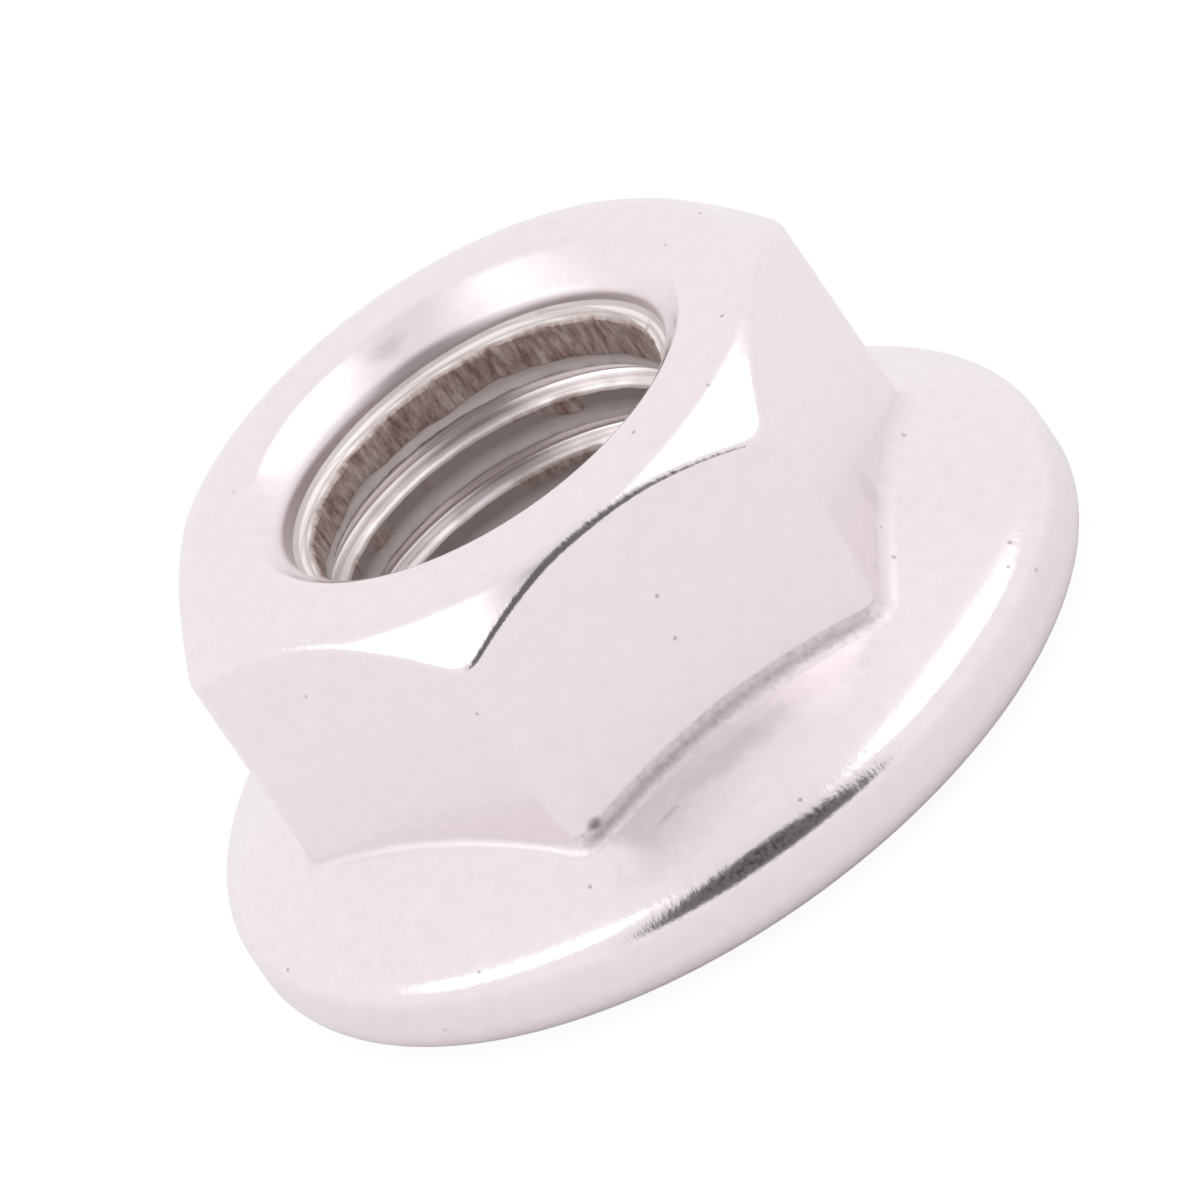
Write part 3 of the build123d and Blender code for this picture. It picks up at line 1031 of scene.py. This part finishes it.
# Painted light: the flank's near-white colour stands in for the light it catches.
flank_with_painted_light = node(bore_tree, MIX, {
    "Factor": bright, COLOUR_A: linear("#DCD3D3"), COLOUR_B: linear("#FBF4F4")}, data_type="RGBA")
turned = node(bore_tree, MIX, {
    "Factor": ringed, COLOUR_A: flank_with_painted_light.outputs[MIXED_COLOUR], COLOUR_B: linear("#C0B7B5")}, data_type="RGBA")
plain = node(bore_tree, MIX, {
    "Factor": down_crest, COLOUR_A: linear("#F0E8E6"), COLOUR_B: linear("#B2A6A4")}, data_type="RGBA")
smooth = node(bore_tree, MIX, {
    "Factor": crest, COLOUR_A: turned.outputs[MIXED_COLOUR], COLOUR_B: plain.outputs[MIXED_COLOUR]},
    data_type="RGBA")
colour = node(bore_tree, MIX, {
    "Factor": torn, COLOUR_A: smooth.outputs[MIXED_COLOUR], COLOUR_B: tear_colour}, data_type="RGBA")
print("flank #DCD3D3 to #FBF4F4, tears #8C706A to #D6C6C0")

# %% [markdown]
# Baked oil covers the metal, so the crests are only half metallic, and rough enough to look brown and
# dull beside the bright flanks. The tears stand out as relief 0.06 mm deep, the tap's lines 0.02 mm.

# %% Roughness and bumps of the tapped steel
even_rough = node(bore_tree, RAMP, {"Value": crest, "To Min": 0.28, "To Max": 0.45})
rough = node(bore_tree, MATHS, (torn, 0.15, even_rough), operation="MULTIPLY_ADD")
metallic = node(bore_tree, RAMP, {"Value": crest, "To Min": 0.92, "To Max": 0.45})
tear_height = node(bore_tree, MATHS, (streaks, torn), operation="MULTIPLY")
line_bump = node(bore_tree, BUMP, {"Strength": 0.3, "Distance": 0.02 * MM, "Height": lines})
bumps = node(bore_tree, BUMP, {
    "Strength": 0.6, "Distance": 0.06 * MM, "Height": tear_height, "Normal": line_bump})
steel = node(bore_tree, "ShaderNodeBsdfPrincipled", {
    "Base Color": colour.outputs[MIXED_COLOUR], "Metallic": metallic, "Roughness": rough, "Normal": bumps})
node(bore_tree, "ShaderNodeOutputMaterial", {"Surface": steel})
print(bore_steel.name, "has", len(bore_tree.nodes), "nodes")

# %% [markdown]
# ## Hand the nut to the frame
#
# The mesh stands in for the whole CAD node, because it is that node's skin drawn again with its thread
# and its worn edges. It rides on the part's only body.

# %% Hand the nut to the frame
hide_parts("flange_nut")
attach(nut, "root")
print("nut replaces flange_nut")

# %% [markdown]
# ## Camera
#
# A short lens close by would swell the near side of the flange, so the camera stands well back with a
# long one, to the front and above. It is rolled, so that the nut leans over to the left. Its axes are
# worked out from three angles, because a constraint that tracks the nut could not roll it.

# %% Place the camera
CAMERA_AZIMUTH, CAMERA_ELEVATION, CAMERA_ROLL = -8.44, 27.9, 34.6
CAMERA_DISTANCE = 1.075
CAMERA_LENS, SENSOR_WIDTH = 1435.1, 36
AIM_RIGHT, AIM_UP = -1.73, 2.95


def camera_axes():
    """The camera's right, up and back directions."""
    turn, tilt, roll = radians(CAMERA_AZIMUTH), radians(CAMERA_ELEVATION), radians(CAMERA_ROLL)
    back = Vector((sin(turn) * cos(tilt), -cos(turn) * cos(tilt), sin(tilt)))
    level = Vector((cos(turn), sin(turn), 0))
    steep = back.cross(level)
    return cos(roll) * level - sin(roll) * steep, sin(roll) * level + cos(roll) * steep, back


right, up, back = camera_axes()
aim = Vector((0, 0, FLANGE_BASE)) * MM + (AIM_RIGHT * right + AIM_UP * up) * MM
turned_to = Matrix((right, up, back)).transposed().to_4x4()
camera = bpy.data.objects.new("camera", bpy.data.cameras.new("camera"))
camera.data.lens = CAMERA_LENS
camera.data.sensor_width = SENSOR_WIDTH
camera.matrix_world = Matrix.Translation(aim + CAMERA_DISTANCE * back) @ turned_to
bpy.context.collection.objects.link(camera)
bpy.context.scene.camera = camera
print("camera at", [round(c, 3) for c in camera.location])

# %% [markdown]
# ## White paper
#
# Small metal parts are shown on white paper, because polished steel looks like whatever surrounds it.
# Plain paper would come out grey wherever the light falls off, and more light to whiten it would burn
# out the metal. So to the metal the paper is plain and pale, but to the camera it glows almost white,
# and only a faint diffuse share of it is left to carry the nut's shadow.

# %% The paper's material
white_paper = bpy.data.materials.new("white paper")
paper_tree = new_material_tree(white_paper)
seen = node(paper_tree, "ShaderNodeLightPath").outputs["Is Camera Ray"]
paper = node(paper_tree, "ShaderNodeBsdfDiffuse", {"Color": linear("#FCFBFC")})
faint = node(paper_tree, "ShaderNodeBsdfDiffuse", {"Color": linear("#5C5A5A")})
glow = node(paper_tree, "ShaderNodeEmission", {"Strength": 0.93})
lit = node(paper_tree, "ShaderNodeAddShader", (faint, glow))
mixed = node(paper_tree, "ShaderNodeMixShader", (seen, paper, lit))
node(paper_tree, "ShaderNodeOutputMaterial", {"Surface": mixed})
print(white_paper.name)

# %% Lay the floor
FLOOR_REACH = 3.0
floor = new_mesh("floor", [
    (-FLOOR_REACH, -FLOOR_REACH, 0), (FLOOR_REACH, -FLOOR_REACH, 0),
    (FLOOR_REACH, FLOOR_REACH, 0), (-FLOOR_REACH, FLOOR_REACH, 0)], [(0, 1, 2, 3)])
floor.data.materials.append(white_paper)
print("floor", 2 * FLOOR_REACH, "m wide")

# %% [markdown]
# ## White surroundings
#
# All the light comes from the surroundings, white and even at a strength of 1, as inside a light
# tent. Lamps would add hot spots that a tent doesn't have.

# %% Make the surroundings
world = bpy.data.worlds.new("white studio")
world.use_nodes = True
world.node_tree.nodes.clear()
sky = node(world.node_tree, "ShaderNodeBackground", {"Color": linear("#FFFFFF"), "Strength": 1.0})
node(world.node_tree, "ShaderNodeOutputWorld", {"Surface": sky})
bpy.context.scene.world = world
print("surroundings", world.name)

# %% [markdown]
# ## Cards overhead
#
# In an even tent polished steel has no form. Two bright cards give it highlights, left and right, and
# a dark gap between them, where the tent is open for the lens, draws the thin dark lines on the
# shoulder and the crown. Area lamps could do this too, but their edges are hard in a mirror, and they
# would also light the paper. The cards are patches of a dome over the nut, placed by how many degrees
# they lean from overhead, to the left and towards the camera. Only reflections see them, so they
# light nothing else and cast no shadow. Each is drawn as rings, and its light changes evenly from one
# ring to the next, which keeps the highlights' edges soft.

# %% Places on the dome
DOME_RADIUS = 0.6
LEFT = -Vector((cos(radians(CAMERA_AZIMUTH)), sin(radians(CAMERA_AZIMUTH)), 0))
TOWARDS = Vector((sin(radians(CAMERA_AZIMUTH)), -cos(radians(CAMERA_AZIMUTH)), 0))


def on_dome(left, towards):
    """A place on a dome over the nut, at angles in degrees from overhead to the left and towards."""
    tilt = hypot(left, towards)
    lean = (left * LEFT + towards * TOWARDS) / tilt
    return DOME_RADIUS * (sin(radians(tilt)) * lean + cos(radians(tilt)) * Vector((0, 0, 1)))


print("10 degrees to the left is", [round(c, 3) for c in on_dome(10, 0)])

# %% Make a card
def make_card(name, rings):
    """A card on the dome, from its outer ring to its inner one, each with the strength of its light."""
    count = len(rings[0][0])
    corners = [tuple(on_dome(*place)) for outline, _ in rings for place in outline]
    faces = [tuple(range(len(corners) - count, len(corners)))]
    for start in range(0, len(corners) - count, count):
        for i in range(count):
            following = (i + 1) % count
            faces.append((start + i, start + following, start + count + following, start + count + i))
    card = new_mesh(name, corners, faces)
    light = card.data.attributes.new("light", "FLOAT", "POINT")
    light.data.foreach_set("value", [strength for outline, strength in rings for _ in outline])
    card.data.materials.append(bpy.data.materials.new(name))
    tree = new_material_tree(card.data.materials[0])
    strength = node(tree, "ShaderNodeAttribute", attribute_name="light").outputs["Fac"]
    glow = node(tree, "ShaderNodeEmission", {"Strength": strength})
    node(tree, "ShaderNodeOutputMaterial", {"Surface": glow})
    card.visible_camera = card.visible_diffuse = card.visible_shadow = card.visible_transmission = False
    print(name, "rings", len(rings), "from", rings[0][1], "to", rings[-1][1])


print("cards glow by their own light attribute")

# %% The two bright cards
def scaled(outline, factor):
    """An outline scaled about its middle."""
    middle = [sum(place[i] for place in outline) / len(outline) for i in (0, 1)]
    return [tuple(m + (c - m) * factor for m, c in zip(middle, place)) for place in outline]


left_card = [(14, 14), (21, 7), (34, -4), (48, -15), (65, -8), (65, 6), (50, 20), (36, 31), (24, 24)]
right_card = [(-13, 13), (-18, 4), (-28, -15), (-40, -29), (-56, -12), (-46, 13), (-35, 24), (-22, 20)]
make_card("left softbox", [(scaled(left_card, 1.12), 1.0), (scaled(left_card, 0.86), 1.8)])
make_card("right softbox", [(scaled(right_card, 1.12), 1.0), (scaled(right_card, 0.86), 1.6)])

# %% The dark gap between them
def both_sides(half):
    """An outline from its right half, mirrored to the left."""
    return half + [(-left, towards) for left, towards in reversed(half)]


make_card("dark gap", [
    (both_sides([(-10, -14), (-20, 28), (-34, 46), (-50, 64), (-55, 80)]), 1.0),
    (both_sides([(-4, 16), (-13, 30), (-29, 48), (-43, 63), (-47, 76)]), 0.85),
    (both_sides([(-2, 25), (-9, 33), (-25, 51), (-37, 63), (-40, 72)]), 0.16)])

# %% [markdown]
# ## Settings
#
# The standard view transform shows colours as they are written.

# %% Settings
bpy.context.scene.view_settings.view_transform = "Standard"
